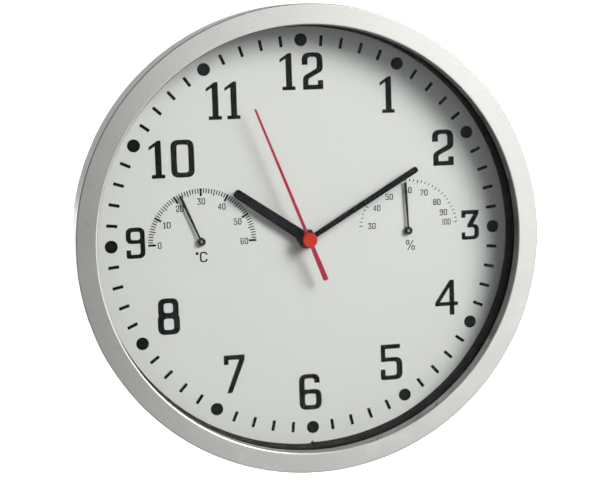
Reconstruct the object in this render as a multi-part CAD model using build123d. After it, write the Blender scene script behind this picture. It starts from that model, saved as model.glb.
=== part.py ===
from build123d import *
from math import cos, hypot, radians, sin
import os

# Wall clock with a thermometer and a hygrometer in its dial. Millimetres.
#
# Every piece is drawn as if the clock lay on its back: x to the right, y towards
# the twelve, and z, called depth here, up from the wall plane to the viewer.
# The last lines stand the clock up and put the keyhole's centre at the origin.

overrun = 1.0
running_gap = 0.05

# Front bezel
outer_radius = 125.0
bezel_width = 11.8
bezel_lip_height = 7.0
bezel_skirt_lap = 2.0
bezel_face_fall = 1.2
bezel_edge_bevel = 2.2
bezel_lip_bevel = 1.4

# Glass, spacer ring and dial
glass_lap = 3.3
glass_fit = 0.3
glass_thickness = 2.0
cap_to_glass = 0.6
spacer_step = 0.2
spacer_wall = 1.4
spacer_key_width = 4.0
spacer_key_height = 3.2
spacer_key_reach = 1.6
spacer_lap = 0.5
spacer_lap_angle = 40.0
dial_thickness = 1.0
sensor_spread = 56.9
sensor_rise = 1.3
sensor_hole_fit = 0.4
bush_hole_fit = 0.15

# Rear case
case_fit = 0.3
case_wall = 2.2
case_bevel = 2.4
case_rib_width = 1.6
case_rib_height = 3.0
case_opening_gap = 1.0
case_collar_wall = 1.8
case_collar_height = 6.8
vent_count = 4
vent_width = 3.0
vent_length = 24.0
vent_pitch = 7.0
keyhole_inset = 32.3
keyhole_radius = 4.75
keyhole_slot_width = 4.6
keyhole_slot_rise = 8.6

# Movement housing, as wide as the cell and its contacts need
movement_corner = 3.0
movement_back = 2.6
movement_wall = 1.2
movement_front_wall = 1.4
cover_thickness = 1.4
cover_gap = 0.1
pad_thickness = 0.8
pad_side = 16.0
bush_wall = 1.4
bush_stand = 0.6
nut_thickness = 2.6
nut_across_flats = 9.6
pivot_end_gap = 0.15

# Battery, an AA cell, and the contacts at its ends
cell_radius = 7.25
cell_length = 50.5
cell_button_radius = 2.75
cell_button_length = 1.0
cell_fit = 0.15
bay_floor = 0.8
bay_divider = 1.0
bay_side_wall = 0.9
contact_thickness = 0.4
contact_width = 7.0
contact_gap = 0.05
leaf_width = 6.0
leaf_reach = 5.0
leaf_rise = 2.2

# Teeth: height and depth in modules, widths as shares of the pitch
addendum_share = 0.8
dedendum_share = 1.0
tip_share = 0.17
root_share = 0.46

# Wheels that carry the minute pipe's turning to the hour hand and the knob
cannon_teeth = 8
minute_wheel_teeth = 24
minute_pinion_teeth = 8
hour_teeth = 32
knob_teeth = 8
minute_wheel_reach = 9.6
knob_angle = 145.0
wheel_gap = 0.7
minute_wheel_thickness = 0.9
hour_wheel_thickness = 1.2
pinion_overlap = 0.2
post_radius = 0.8

# Pipes and arbor that carry the hands
second_arbor_radius = 0.5
second_arbor_seat = 3.0
minute_pipe_wall = 1.15
hour_pipe_wall = 0.65
pipe_gap = 0.1
pipe_stand = 0.3

# Setting knob
knob_radius = 5.5
knob_thickness = 1.8
knob_gap = 0.3
knob_shaft_radius = 1.5
motor_to_knob = 4.0
knob_grip_count = 12
knob_grip_depth = 0.6
knob_grip_share = 0.5

# Hands, with angles clockwise from the twelve as the photograph shows them
hand_gap = 0.5
hand_thickness = 0.5
hour_hand_angle = 305.0
hour_hand_length = 47.0
hour_hand_root_width = 5.9
hour_hand_tip_width = 4.8
hour_hand_corner = 1.9
hour_collar_radius = 4.7
hour_collar_length = 1.6
minute_hand_angle = 59.95
minute_hand_length = 70.7
minute_hand_root_width = 2.8
minute_hand_tip_width = 3.4
minute_hand_corner = 1.5
minute_collar_radius = 4.4
minute_collar_length = 1.6
minute_hand_gap = 1.0
second_hand_angle = 339.1
second_hand_length = 75.4
second_hand_root_width = 1.8
second_hand_tip_width = 1.1
second_tail_length = 23.7
second_tail_root_width = 2.2
second_tail_tip_width = 2.9
second_hand_thickness = 0.4
second_hand_gap = 0.5
second_cap_radius = 4.0
second_cap_height = 1.7
second_cap_bevel = 0.4
second_cap_roof = 0.5

# Thermometer and hygrometer, alike but for their coils and pointers
sensor_plate_length = 26.0
sensor_plate_height = 18.0
sensor_plate_thickness = 1.2
sensor_arbor_radius = 0.6
sensor_arbor_end = 0.6
coil_radius = 7.0
coil_gap = 1.4
coil_strip_width = 3.6
coil_strip_gap = 0.05
coil_post_width = 2.0
coil_steps = 12
thermo_strip_thickness = 0.4
thermo_coil_turns = 3
hygro_strip_thickness = 0.5
hygro_coil_turns = 2
pointer_thickness = 0.3
pointer_lift = 0.6
pointer_hub_radius = 2.2
pointer_hub_height = 1.1
pointer_hub_gap = 0.9
pointer_pin_stand = 0.3
pointer_root_width = 0.9
pointer_tip_width = 1.6
thermo_pointer_length = 26.8
thermo_pointer_angle = -22.8
hygro_pointer_length = 26.4
hygro_pointer_angle = -2.7

movement_side = cell_length + leaf_rise + 2 * (movement_wall + contact_thickness + contact_gap)

# Depths through the movement
cover_front = movement_back + cover_thickness
bay_half_height = cell_radius + cell_fit
cell_depth = movement_back + bay_half_height
movement_front = cell_depth + bay_half_height + bay_floor
movement_inside = movement_front - movement_front_wall
hour_wheel_front = movement_inside - wheel_gap
hour_wheel_back = hour_wheel_front - hour_wheel_thickness
cannon_front = hour_wheel_back - wheel_gap
minute_wheel_front = cannon_front - pinion_overlap
minute_wheel_back = minute_wheel_front - minute_wheel_thickness
motor_front = minute_wheel_back - wheel_gap
minute_pipe_back = motor_front + pivot_end_gap
second_arbor_back = motor_front - second_arbor_seat

# Depths from the dial forward
dial_back = movement_front + pad_thickness
dial_front = dial_back + dial_thickness
nut_front = dial_front + nut_thickness
bush_front = nut_front + bush_stand
hour_collar_back = bush_front + hand_gap
hour_collar_front = hour_collar_back + hour_collar_length
hour_pipe_front = hour_collar_front + pipe_stand
minute_collar_back = hour_pipe_front + minute_hand_gap
minute_collar_front = minute_collar_back + minute_collar_length
minute_pipe_front = minute_collar_front + pipe_stand
second_blade_back = minute_pipe_front + second_hand_gap
second_blade_front = second_blade_back + second_hand_thickness
second_cap_front = second_blade_front + second_cap_height
second_arbor_front = second_cap_front - second_cap_roof
glass_back = second_cap_front + cap_to_glass
glass_front = glass_back + glass_thickness
crest_depth = glass_front + bezel_lip_height

# Radii of the case, from the outside in
mouth_radius = outer_radius - bezel_width
pane_radius = mouth_radius + glass_lap
seat_radius = pane_radius + glass_fit
case_radius = seat_radius - case_fit
hook_rise = case_radius - keyhole_inset

# Radii of the pipes and the bush, from the inside out
minute_bore_radius = second_arbor_radius + pipe_gap
minute_pipe_radius = minute_bore_radius + minute_pipe_wall
hour_bore_radius = minute_pipe_radius + pipe_gap
hour_pipe_radius = hour_bore_radius + hour_pipe_wall
bush_bore_radius = hour_pipe_radius + pipe_gap
bush_radius = bush_bore_radius + bush_wall

# Edges of the movement's compartments
half_side = movement_side / 2
room_side = half_side - movement_wall
cell_rise = bay_side_wall + bay_half_height - half_side
room_foot = cell_rise + bay_half_height + bay_divider
cell_right = room_side - contact_thickness - contact_gap

# Depths and radii inside each instrument
plate_back = dial_back - sensor_plate_thickness
strip_front = plate_back - coil_gap
strip_back = strip_front - coil_strip_width
pointer_hub_back = dial_front + pointer_hub_gap
pointer_hub_front = pointer_hub_back + pointer_hub_height
pointer_back = pointer_hub_back + pointer_lift

on_back = (Align.CENTER, Align.CENTER, Align.MIN)


def along(distance, angle, start=(0, 0)):
    """Point at a distance from a start, at an angle from the x axis."""
    return (start[0] + distance * cos(radians(angle)), start[1] + distance * sin(radians(angle)))


# Places of the minute wheel and the knob
minute_wheel_place = (-minute_wheel_reach, 0)
knob_place = along(minute_wheel_reach, knob_angle, minute_wheel_place)


def disc(radius, back, front, place=(0, 0)):
    """A round solid between two depths."""
    return Pos(*place, back) * Cylinder(radius, front - back, align=on_back)


def tube(radius, bore, back, front, place=(0, 0)):
    """A round solid with a hole right through it."""
    return disc(radius, back, front, place) - disc(bore, back - overrun, front + overrun, place)


def slab(outline, back, front):
    """A flat outline given a thickness between two depths."""
    return Pos(0, 0, back) * extrude(outline, front - back)


def oblong(left, right, bottom, top):
    """A rectangle between four edges."""
    return Pos((left + right) / 2, (bottom + top) / 2) * Rectangle(right - left, top - bottom)


def partway(start, end, distance):
    """Point at a distance from one corner on the way to another."""
    share = distance / hypot(end[0] - start[0], end[1] - start[1])
    return (start[0] + (end[0] - start[0]) * share, start[1] + (end[1] - start[1]) * share)


def turned(corners, bevels):
    """A ring from its half section: (radius, depth) corners and the bevel of each."""
    outline = []
    for i, (corner, bevel) in enumerate(zip(corners, bevels)):
        if bevel:
            neighbours = (corners[i - 1], corners[(i + 1) % len(corners)])
            outline += [partway(corner, neighbour, bevel) for neighbour in neighbours]
        else:
            outline.append(corner)
    return revolve(Plane.XZ * make_face(Polyline(*outline, close=True)), Axis.Z)


def clockwise(angle, shape):
    """Turn a shape that points at the twelve to an angle of the dial."""
    return Rot(0, 0, -angle) * shape


def module(teeth, other_teeth):
    """Size of the teeth of two gears that mesh across the minute wheel's reach."""
    return 2 * minute_wheel_reach / (teeth + other_teeth)


def meshing(driver_teeth, driver_turn, driven_teeth, direction):
    """Turn at which a gear's gaps meet the teeth of the gear that drives it."""
    past_line = driver_turn - direction
    return direction + 180 - past_line * driver_teeth / driven_teeth + 180 / driven_teeth


def toothed(count, root, tip, turn, root_width, tip_width):
    """Outline with straight-sided teeth, one of them centred on the angle turn."""
    pitch = 360 / count
    corners = []
    for tooth in range(count):
        middle = turn + tooth * pitch
        flank = [(root, -root_width), (tip, -tip_width), (tip, tip_width), (root, root_width)]
        corners += [along(radius, middle + share * pitch / 2) for radius, share in flank]
    return make_face(Polyline(*corners, close=True))


def gear(teeth, size, turn, back, front, place=(0, 0)):
    """A toothed wheel or pinion between two depths."""
    pitch_radius = teeth * size / 2
    root = pitch_radius - dedendum_share * size
    tip = pitch_radius + addendum_share * size
    outline = toothed(teeth, root, tip, turn, root_share, tip_share)
    return Pos(*place) * slab(outline, back, front)


# Sizes of the teeth in each mesh, and the turn of each gear at rest
cannon_module = module(cannon_teeth, minute_wheel_teeth)
hour_module = module(minute_pinion_teeth, hour_teeth)
cannon_turn = 180
minute_wheel_turn = meshing(cannon_teeth, cannon_turn, minute_wheel_teeth, cannon_turn)
knob_turn = meshing(minute_wheel_teeth, minute_wheel_turn, knob_teeth, knob_angle)


def front_bezel():
    """Silver front moulding: skirt, sloping face, lip and seat for the glass."""
    skirt_back = dial_front - bezel_skirt_lap
    corners = [
        (outer_radius, skirt_back),
        (outer_radius, crest_depth - bezel_face_fall),
        (mouth_radius, crest_depth),
        (mouth_radius, glass_front),
        (seat_radius, glass_front),
        (seat_radius, skirt_back),
    ]
    return turned(corners, [0, bezel_edge_bevel, bezel_lip_bevel, 0, 0, 0])


def glass():
    """Flat front glass."""
    return disc(pane_radius, glass_back, glass_front)


def spacer_ring():
    """Black strip round the dial, lapped at its seam, with a locating key at the six."""
    mouth = mouth_radius - spacer_step
    ring = tube(mouth + spacer_wall, mouth, dial_front, glass_back)
    buried = mouth + spacer_wall / 2
    half_key = spacer_key_width / 2
    corners = [(-half_key, -buried), (half_key, -buried), (0, spacer_key_reach - mouth)]
    key = make_face(Polyline(*corners, close=True))
    seam = -90
    end = seam + spacer_lap_angle
    middle = seam + spacer_lap_angle / 2
    tip = along(buried, end)
    inner = ThreePointArc(along(mouth - spacer_lap, seam), along(mouth - spacer_lap / 2, middle), tip)
    outer = ThreePointArc(tip, along(buried, middle), along(buried, seam))
    lap = make_face([Line(outer @ 1, inner @ 0), inner, outer])
    return ring + slab(key, dial_front, dial_front + spacer_key_height) + slab(lap, dial_front, glass_back)


def dial_plate():
    """Flat dial with holes for the bush and for the two instruments' arbors."""
    plate = disc(pane_radius, dial_back, dial_front)
    plate -= disc(bush_radius + bush_hole_fit, dial_back - overrun, dial_front + overrun)
    for side in (-1, 1):
        place = (side * sensor_spread, sensor_rise)
        hole_radius = sensor_arbor_radius + sensor_hole_fit
        plate -= disc(hole_radius, dial_back - overrun, dial_front + overrun, place)
    return plate


def keyhole():
    """Outline of the keyhole: a round hole for the screw's head and a slot above it."""
    slot = SlotCenterToCenter(keyhole_slot_rise, keyhole_slot_width, rotation=90)
    return Pos(0, hook_rise) * (Circle(keyhole_radius) + Pos(0, keyhole_slot_rise / 2) * slot)


def rear_case():
    """Black back moulding: round wall, collared opening, corner ribs, vents and keyhole."""
    wall_inside = case_radius - case_wall
    corners = [
        (0, 0),
        (case_radius, 0),
        (case_radius, dial_back),
        (wall_inside, dial_back),
        (wall_inside, case_wall),
        (0, case_wall),
    ]
    case = turned(corners, [0, case_bevel, 0, 0, 0, 0])
    opening = movement_side + 2 * case_opening_gap
    collar_side = opening + 2 * case_collar_wall
    collar_front = case_wall + case_collar_height
    case += slab(Rectangle(collar_side, collar_side), case_wall / 2, collar_front)
    collar_middle = (opening + collar_side) / 4
    rib_start = hypot(collar_middle, collar_middle)
    rib_end = wall_inside + case_wall / 4
    rib = slab(oblong(rib_start, rib_end, -case_rib_width / 2, case_rib_width / 2),
               case_wall / 2, case_wall + case_rib_height)
    for angle in (45, 135, 225, 315):
        case += Rot(0, 0, angle) * rib
    cuts = Rectangle(opening, opening) + keyhole()
    for side in (-1, 1):
        for i in range(vent_count):
            rise = sensor_rise + (i - (vent_count - 1) / 2) * vent_pitch
            cuts += Pos(side * sensor_spread, rise) * Rectangle(vent_length, vent_width)
    return case - slab(cuts, -overrun, collar_front + overrun)


def cell_bay():
    """Room for the cell: a half round trough that opens to the back."""
    trough = Pos(0, cell_rise, cell_depth) * Rot(0, 90, 0) * Cylinder(bay_half_height, 2 * room_side)
    mouth = oblong(-room_side, room_side, cell_rise - bay_half_height, cell_rise + bay_half_height)
    return trough + slab(mouth, movement_back - overrun, cell_depth)


def movement_case():
    """Movement housing with wheel room, battery bay, wheel post and threaded bush."""
    outline = chamfer(Rectangle(movement_side, movement_side).vertices(), movement_corner)
    case = slab(outline, movement_back, movement_front)
    room = oblong(-room_side, room_side, room_foot, room_side)
    case -= slab(room, movement_back - overrun, movement_inside)
    case -= cell_bay()
    case += disc(post_radius, minute_wheel_back, movement_inside, minute_wheel_place)
    case += disc(bush_radius, movement_inside, bush_front)
    return case - disc(bush_bore_radius, movement_inside - overrun, bush_front + overrun)


def room_block(left, back, front):
    """A block between two depths that fills the wheel room from a left edge."""
    side = room_side - cover_gap
    return slab(oblong(left, side, room_foot + cover_gap, side), back, front)


def movement_cover():
    """Back cover of the wheel room, with the hole that the knob's shaft turns in."""
    cover = room_block(cover_gap - room_side, movement_back, cover_front)
    hole_radius = knob_shaft_radius + running_gap
    return cover - disc(hole_radius, movement_back - overrun, cover_front + overrun, knob_place)


def motor_block():
    """Sealed block of stepper motor and seconds wheels, with the arbor's bearing."""
    block = room_block(knob_place[0] + motor_to_knob, cover_front, motor_front)
    bearing_back = second_arbor_back - pivot_end_gap
    return block - disc(second_arbor_radius + running_gap, bearing_back, motor_front + overrun)


def rubber_washer():
    """Soft square washer between the movement and the dial."""
    hole = Circle(bush_radius + bush_hole_fit)
    return slab(Rectangle(pad_side, pad_side) - hole, movement_front, dial_back)


def movement_nut():
    """Hexagon nut that clamps the dial to the movement."""
    hexagon = RegularPolygon(nut_across_flats / 2, 6, major_radius=False) - Circle(bush_radius)
    return slab(hexagon, dial_front, nut_front)


def second_arbor():
    """Steel arbor that carries the second hand through both pipes."""
    return disc(second_arbor_radius, second_arbor_back, second_arbor_front)


def minute_pipe():
    """Pipe that carries the minute hand, with its pinion."""
    pipe = disc(minute_pipe_radius, cannon_front, minute_pipe_front)
    pipe += gear(cannon_teeth, cannon_module, cannon_turn, minute_pipe_back, cannon_front)
    return pipe - disc(minute_bore_radius, minute_pipe_back - overrun, minute_pipe_front + overrun)


def minute_wheel():
    """Wheel and pinion on a post that slow the minute pipe down for the hour wheel."""
    wheel = gear(minute_wheel_teeth, cannon_module, minute_wheel_turn,
                 minute_wheel_back, minute_wheel_front, minute_wheel_place)
    wheel += gear(minute_pinion_teeth, hour_module, 0,
                  minute_wheel_front, hour_wheel_front, minute_wheel_place)
    bore = post_radius + running_gap
    return wheel - disc(bore, minute_wheel_back - overrun, hour_wheel_front + overrun, minute_wheel_place)


def hour_wheel():
    """Wheel whose pipe carries the hour hand."""
    wheel = gear(hour_teeth, hour_module, meshing(minute_pinion_teeth, 0, hour_teeth, 0),
                 hour_wheel_back, hour_wheel_front)
    wheel += disc(hour_pipe_radius, hour_wheel_back, hour_pipe_front)
    return wheel - disc(hour_bore_radius, hour_wheel_back - overrun, hour_pipe_front + overrun)


def setting_knob():
    """Ribbed knob at the back, with the shaft and pinion that turn the minute wheel."""
    knob_front = movement_back - knob_gap
    groove = knob_radius - knob_grip_depth
    grip = toothed(knob_grip_count, groove, knob_radius, 0, knob_grip_share, knob_grip_share / 2)
    knob = Pos(*knob_place) * slab(grip, knob_front - knob_thickness, knob_front)
    pinion_back = minute_wheel_back - pinion_overlap
    knob += disc(knob_shaft_radius, knob_front, pinion_back, knob_place)
    return knob + gear(knob_teeth, cannon_module, knob_turn, pinion_back, cannon_front, knob_place)


def battery_cell():
    """AA cell with its button towards the right."""
    barrel_length = cell_length - cell_button_length
    barrel = Cylinder(cell_radius, barrel_length)
    button = Pos(0, 0, cell_length / 2) * Cylinder(cell_button_radius, cell_button_length)
    middle = cell_right - cell_button_length - barrel_length / 2
    return Pos(middle, cell_rise, cell_depth) * Rot(0, 90, 0) * (barrel + button)


def contact_plate(side, half_width, half_depth):
    """Flat contact on an end wall of the bay."""
    edges = sorted((side * room_side, side * (room_side - contact_thickness)))
    outline = oblong(*edges, cell_rise - half_width, cell_rise + half_width)
    return slab(outline, cell_depth - half_depth, cell_depth + half_depth)


def battery_contact_positive():
    """Flat contact that meets the cell's button."""
    return contact_plate(1, contact_width / 2, contact_width / 2)


def battery_contact_negative():
    """Sprung contact: a bent leaf that presses on the flat end of the cell."""
    seat = contact_thickness - room_side
    tip = cell_right - cell_length - contact_gap
    leaf = make_face(Polyline(
        (seat, cell_depth - leaf_reach),
        (tip, cell_depth),
        (seat, cell_depth + leaf_reach),
        (seat, cell_depth + leaf_reach - 2 * contact_thickness),
        (tip - contact_thickness, cell_depth),
        (seat, cell_depth - leaf_reach + 2 * contact_thickness),
        close=True,
    ))
    bent = Pos(0, cell_rise) * extrude(Plane.XZ * leaf, leaf_width / 2, both=True)
    return contact_plate(-1, leaf_width / 2, leaf_reach) + bent


def blade(root_width, tip_width, length, corner):
    """Tapered bar from the centre towards the twelve, with rounded far corners."""
    corners = [(-root_width / 2, 0), (root_width / 2, 0), (tip_width / 2, length), (-tip_width / 2, length)]
    return make_face(FilletPolyline(*corners, radius=[0, 0, corner, corner], close=True))


def hour_hand():
    """Broad black hand on the hour pipe."""
    bar = blade(hour_hand_root_width, hour_hand_tip_width, hour_hand_length, hour_hand_corner)
    hand = slab(bar, hour_collar_back, hour_collar_back + hand_thickness)
    hand += disc(hour_collar_radius, hour_collar_back, hour_collar_front)
    hand -= disc(hour_pipe_radius, hour_collar_back - overrun, hour_collar_front + overrun)
    return clockwise(hour_hand_angle, hand)


def minute_hand():
    """Long black hand on the minute pipe."""
    bar = blade(minute_hand_root_width, minute_hand_tip_width, minute_hand_length, minute_hand_corner)
    hand = slab(bar, minute_collar_back, minute_collar_back + hand_thickness)
    hand += disc(minute_collar_radius, minute_collar_back, minute_collar_front)
    hand -= disc(minute_pipe_radius, minute_collar_back - overrun, minute_collar_front + overrun)
    return clockwise(minute_hand_angle, hand)


def second_hand_blade():
    """Slim red blade with a wider counterweight tail."""
    tip_corner = second_hand_tip_width / 3
    tail_corner = second_tail_tip_width / 3
    outline = blade(second_hand_root_width, second_hand_tip_width, second_hand_length, tip_corner)
    tail = blade(second_tail_root_width, second_tail_tip_width, second_tail_length, tail_corner)
    outline += Rot(0, 0, 180) * tail
    outline += Circle(second_cap_radius - second_cap_bevel)
    outline -= Circle(second_arbor_radius)
    return clockwise(second_hand_angle, slab(outline, second_blade_back, second_blade_front))


def second_hand_cap():
    """Round red cap over the end of the arbor."""
    corners = [
        (0, second_blade_front),
        (second_cap_radius, second_blade_front),
        (second_cap_radius, second_cap_front),
        (0, second_cap_front),
    ]
    cap = turned(corners, [0, 0, second_cap_bevel, 0])
    return cap - disc(second_arbor_radius, second_blade_front - overrun, second_arbor_front)


def instrument(side, shape):
    """Put a shape at the centre of the left (-1) or right (1) instrument."""
    return Pos(side * sensor_spread, sensor_rise) * shape


def sensor_plate(side):
    """Plate behind the dial, with the arbor's bearing hole and the coil's post."""
    plate = slab(Rectangle(sensor_plate_length, sensor_plate_height), plate_back, dial_back)
    post = oblong(coil_radius, coil_radius + coil_post_width, -coil_post_width / 2, coil_post_width / 2)
    plate += slab(post, strip_back, plate_back)
    plate -= disc(sensor_arbor_radius + running_gap, plate_back - overrun, dial_back + overrun)
    return instrument(side, plate)


def sensor_arbor(side):
    """Thin arbor that the coil turns."""
    front = pointer_hub_front + pointer_pin_stand
    return instrument(side, disc(sensor_arbor_radius, strip_back - sensor_arbor_end, front))


def sensor_coil(side, thickness, turns):
    """Flat strip wound in a spiral from the arbor out to the post."""
    first = sensor_arbor_radius + coil_strip_gap
    last = coil_radius - coil_strip_gap - thickness
    steps = turns * coil_steps
    inside = []
    outside = []
    for i in range(steps + 1):
        radius = first + (last - first) * i / steps
        inside.append(along(radius, 360 * i / coil_steps))
        outside.append(along(radius + thickness, 360 * i / coil_steps))
    strip = make_face(Polyline(*inside, *reversed(outside), close=True))
    return instrument(side, slab(strip, strip_back, strip_front))


def sensor_pointer(side, length, angle):
    """Thin black pointer on a round hub."""
    half_root = pointer_root_width / 2
    half_tip = pointer_tip_width / 2
    corners = [(-half_root, 0), (half_root, 0), (half_tip, length), (-half_tip, length)]
    pointer = slab(make_face(Polyline(*corners, close=True)), pointer_back, pointer_back + pointer_thickness)
    pointer += disc(pointer_hub_radius, pointer_hub_back, pointer_hub_front)
    pointer -= disc(sensor_arbor_radius, pointer_hub_back - overrun, pointer_hub_front + overrun)
    return instrument(side, clockwise(angle, pointer))


pieces = {
    "front_bezel": front_bezel(),
    "glass": glass(),
    "spacer_ring": spacer_ring(),
    "dial_plate": dial_plate(),
    "rear_case": rear_case(),
    "movement_case": movement_case(),
    "movement_cover": movement_cover(),
    "motor_block": motor_block(),
    "rubber_washer": rubber_washer(),
    "movement_nut": movement_nut(),
    "second_arbor": second_arbor(),
    "minute_pipe": minute_pipe(),
    "minute_wheel": minute_wheel(),
    "hour_wheel": hour_wheel(),
    "setting_knob": setting_knob(),
    "battery_cell": battery_cell(),
    "battery_contact_positive": battery_contact_positive(),
    "battery_contact_negative": battery_contact_negative(),
    "hour_hand": hour_hand(),
    "minute_hand": minute_hand(),
    "second_hand_blade": second_hand_blade(),
    "second_hand_cap": second_hand_cap(),
    "thermo_plate": sensor_plate(-1),
    "thermo_coil": sensor_coil(-1, thermo_strip_thickness, thermo_coil_turns),
    "thermo_arbor": sensor_arbor(-1),
    "thermo_pointer": sensor_pointer(-1, thermo_pointer_length, thermo_pointer_angle),
    "hygro_plate": sensor_plate(1),
    "hygro_coil": sensor_coil(1, hygro_strip_thickness, hygro_coil_turns),
    "hygro_arbor": sensor_arbor(1),
    "hygro_pointer": sensor_pointer(1, hygro_pointer_length, hygro_pointer_angle),
}

# Stand the clock up, facing -Y, with the keyhole's centre at the origin
upright = Plane(origin=(0, 0, -hook_rise), x_dir=(1, 0, 0), z_dir=(0, -1, 0)).location
os.makedirs("parts", exist_ok=True)
for name, piece in pieces.items():
    export_step(upright * piece, f"parts/{name}.step")
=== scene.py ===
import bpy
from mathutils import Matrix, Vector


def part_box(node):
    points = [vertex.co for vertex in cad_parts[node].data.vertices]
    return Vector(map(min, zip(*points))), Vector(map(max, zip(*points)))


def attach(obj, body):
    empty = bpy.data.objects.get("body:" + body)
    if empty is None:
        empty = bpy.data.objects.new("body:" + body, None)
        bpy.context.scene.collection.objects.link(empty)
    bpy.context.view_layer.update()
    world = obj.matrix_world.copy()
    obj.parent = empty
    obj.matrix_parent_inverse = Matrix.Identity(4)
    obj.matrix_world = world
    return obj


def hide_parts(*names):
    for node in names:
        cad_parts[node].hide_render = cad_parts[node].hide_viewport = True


bl_info = {
    "name": "Wall Clock With Thermometer And Hygrometer",
    "version": (1, 0, 0),
    "blender": (4, 5, 0),
    "location": "3D View > Sidebar > Wall Clock",
    "description": "Dresses a round wall clock with weather dials and sets up its studio",
    "category": "Add Mesh",
}

from math import cos, pi, radians, sin

import bmesh
import bpy
from bpy.props import FloatProperty, FloatVectorProperty, PointerProperty
from mathutils import Matrix, Vector

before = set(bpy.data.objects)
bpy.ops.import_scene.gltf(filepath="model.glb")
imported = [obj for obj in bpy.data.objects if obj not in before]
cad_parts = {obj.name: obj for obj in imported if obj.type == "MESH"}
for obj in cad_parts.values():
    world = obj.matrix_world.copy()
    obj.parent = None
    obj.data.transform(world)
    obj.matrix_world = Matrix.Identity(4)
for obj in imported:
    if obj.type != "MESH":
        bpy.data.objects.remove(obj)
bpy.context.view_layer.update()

MM = 0.001


def span(node, axis):
    """Lowest and highest place of a node along one axis, in millimetres."""
    low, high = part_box(node)
    return low[axis] / MM, high[axis] / MM


def depth_span(node):
    """Back and front of a node, in millimetres out from the wall."""
    low, high = span(node, 1)
    return -high, -low


def middle(node, axis):
    """Halfway place of a node along one axis, in millimetres."""
    low, high = span(node, axis)
    return (low + high) / 2


# Room between the glass's edge and the wall of its seat in the bezel, in millimetres
GLASS_CLEARANCE = 0.3

# Places that the printed and smoothed pieces take from the packed model, in millimetres
DIAL_RISE = middle("dial_plate", 2)
DIAL_FRONT = depth_span("dial_plate")[1]
GLASS_FRONT = depth_span("glass")[1]
BEZEL_BACK, CREST = depth_span("front_bezel")
OUTER_RADIUS = span("front_bezel", 0)[1]
SEAT_RADIUS = span("glass", 0)[1] + GLASS_CLEARANCE

# The print sits a little to the right of the dial's centre and above it, as in the photograph
PRINT_PLACE = (0.5, 1.0)

# Pieces are drawn in millimetres with the clock on its back: x right, y to the
# twelve, z out from the wall. This stands them up in the model's metres.
QUARTER_TURN = Matrix.Rotation(radians(90), 4, "X")
STAND_UP = Matrix.Translation((0, 0, DIAL_RISE * MM)) @ QUARTER_TURN @ Matrix.Scale(MM, 4)


# ---------------------------------------------------------------- settings

def length_setting(name, description, default, low=0.0):
    """A length in metres."""
    return FloatProperty(name=name, description=description, default=default, min=low,
                         subtype="DISTANCE", unit="LENGTH")


def colour_setting(name, description, default):
    """A colour in linear red, green and blue."""
    return FloatVectorProperty(name=name, description=description, default=default, size=3,
                               min=0.0, max=1.0, subtype="COLOR")


def angle_setting(name, description, default):
    """An angle in radians."""
    return FloatProperty(name=name, description=description, default=default, subtype="ANGLE")


def brightness_setting(name, description, default):
    """A strength of light from the room."""
    return FloatProperty(name=name, description=description, default=default, min=0.0)


class CaseSettings(bpy.types.PropertyGroup):
    """Bezel, glass and back of the clock"""
    bezel_colour: colour_setting(
        "Bezel colour", "Silver lacquer of the front bezel", (0.315, 0.321, 0.304))
    bezel_roughness: FloatProperty(
        name="Bezel roughness", description="How far the lacquer blurs what it mirrors",
        default=0.30, min=0.0, max=1.0, subtype="FACTOR")
    lip_width: length_setting(
        "Lip width", "Width of the sloped lip beside the glass", 0.6 * MM)
    lip_fall: length_setting(
        "Lip fall", "Drop of the sloped lip towards the glass", 0.25 * MM)
    edge_round: length_setting(
        "Edge round", "Radius of the bezel's outer edge", 0.5 * MM)
    face_fall: length_setting(
        "Face fall", "Drop of the bezel's face from the lip to the outer edge", 0.2 * MM)
    face_width: length_setting(
        "Face width", "Width of the bezel from its mouth to its outer edge", 11.8 * MM)
    skirt_taper: length_setting(
        "Skirt taper", "Draw-in of the bezel's skirt towards the front", 0.9 * MM)
    black_colour: colour_setting(
        "Plastic colour", "Black plastic of the back, the strip and the movement",
        (0.010, 0.010, 0.011))


class DialSettings(bpy.types.PropertyGroup):
    """Dial and everything printed on it"""
    card_colour: colour_setting(
        "Dial colour", "Pale grey of the dial", (0.735, 0.760, 0.725))
    ink_colour: colour_setting(
        "Ink colour", "Black of the numerals and marks", (0.003, 0.004, 0.004))
    ink_thickness: length_setting(
        "Ink thickness", "Height of the print on the dial", 0.04 * MM)
    dot_radius: length_setting(
        "Hour dot radius", "Radius of the round hour marks", 3.4 * MM)
    dot_ring: length_setting(
        "Hour dot ring", "Radius of the ring of hour marks", 105.0 * MM)
    tick_inner: length_setting(
        "Tick inner end", "Where the minute ticks start", 101.9 * MM)
    tick_outer: length_setting(
        "Tick outer end", "Where the minute ticks end", 107.7 * MM)
    tick_width: length_setting(
        "Tick width", "Width of the minute ticks", 1.7 * MM)


class HandSettings(bpy.types.PropertyGroup):
    """Hands and pointers"""
    hand_colour: colour_setting(
        "Hand colour", "Black of the hour and minute hands", (0.006, 0.006, 0.008))
    sweep_colour: colour_setting(
        "Second hand colour", "Red of the second hand's blade", (0.43, 0.018, 0.045))
    cap_colour: colour_setting(
        "Cap colour", "Red of the round cap", (0.60, 0.022, 0.008))
    pointer_colour: colour_setting(
        "Pointer colour", "Black of the weather pointers", (0.014, 0.014, 0.016))


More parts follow.
